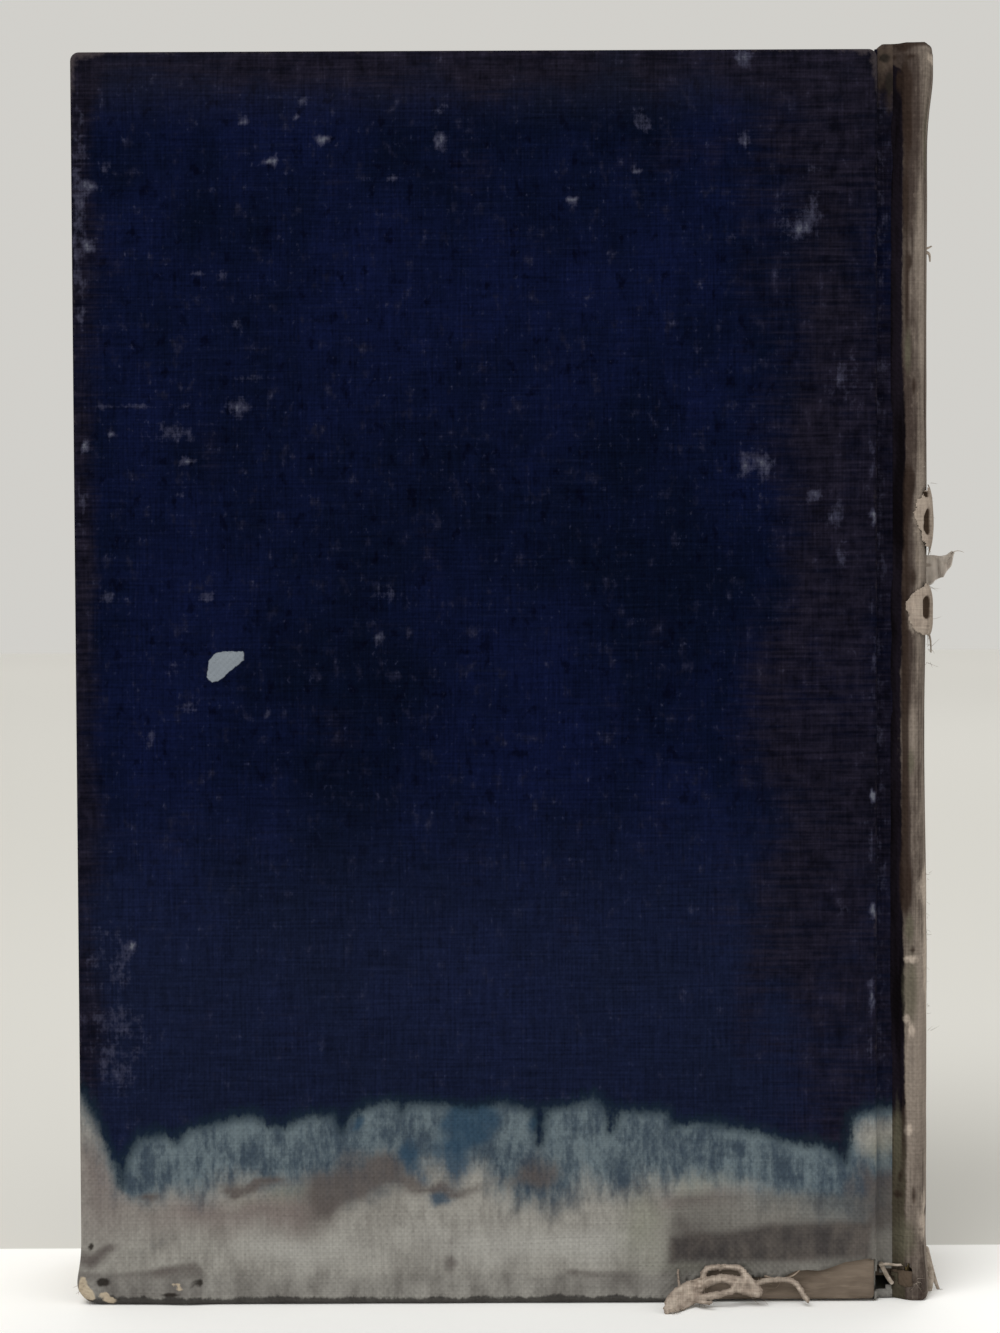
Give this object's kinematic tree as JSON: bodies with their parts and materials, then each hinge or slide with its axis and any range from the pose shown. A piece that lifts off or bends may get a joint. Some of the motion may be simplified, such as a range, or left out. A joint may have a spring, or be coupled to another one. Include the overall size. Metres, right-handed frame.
{
  "type": "hardback book",
  "caption": "Old cloth-bound hardback book with a rounded spine, standing on its tail, whose covers open on cloth joints; the cloth is stained, faded and torn.",
  "frame": {"origin": "on the surface the book stands on, under the middle of its width and thickness", "axes": "+Z to the head, +X to the spine, +Y out of the front cover and -Y out of the back cover"},
  "size_m": [0.1356, 0.0336, 0.1982],
  "materials": {
    "navy_cloth": "matt",
    "faded_cloth": "matt",
    "greyboard": "matt",
    "spine_card": "matt",
    "lining_paper": "matt",
    "pages": "matt",
    "endpaper": "matt",
    "mull": "matt",
    "headband": "matt"
  },
  "bodies": {
    "block": {"text_block": "pages", "front_flyleaf": "endpaper", "back_flyleaf": "endpaper", "mull": "mull", "back_lining": "lining_paper", "head_band": "headband", "tail_band": "headband", "spine_inlay": "spine_card", "spine_cloth": "faded_cloth", "front_joint_paper": "endpaper", "front_joint_mull": "mull", "front_joint_cloth": "navy_cloth", "back_joint_paper": "endpaper", "back_joint_mull": "mull", "back_joint_cloth": "navy_cloth"},
    "front_cover": {"front_board": "greyboard", "front_cloth": "navy_cloth", "front_mull_wing": "mull", "front_pastedown": "endpaper"},
    "back_cover": {"back_board": "greyboard", "back_cloth": "navy_cloth", "back_mull_wing": "mull", "back_pastedown": "endpaper"}
  },
  "joints": [
    {"name": "back_cover_hinge", "type": "hinge", "parent": "block", "child": "back_cover", "pos_m": [0.05931, -0.0166, 0.0985], "axis": [0, 0, 1], "range_deg": [0, 180], "deforming": ["back_joint_cloth", "back_joint_mull", "back_joint_paper"]},
    {"name": "front_cover_hinge", "type": "hinge", "parent": "block", "child": "front_cover", "pos_m": [0.05931, 0.0166, 0.0985], "axis": [0, 0, -1], "range_deg": [0, 180], "deforming": ["front_joint_cloth", "front_joint_mull", "front_joint_paper"]}
  ]
}
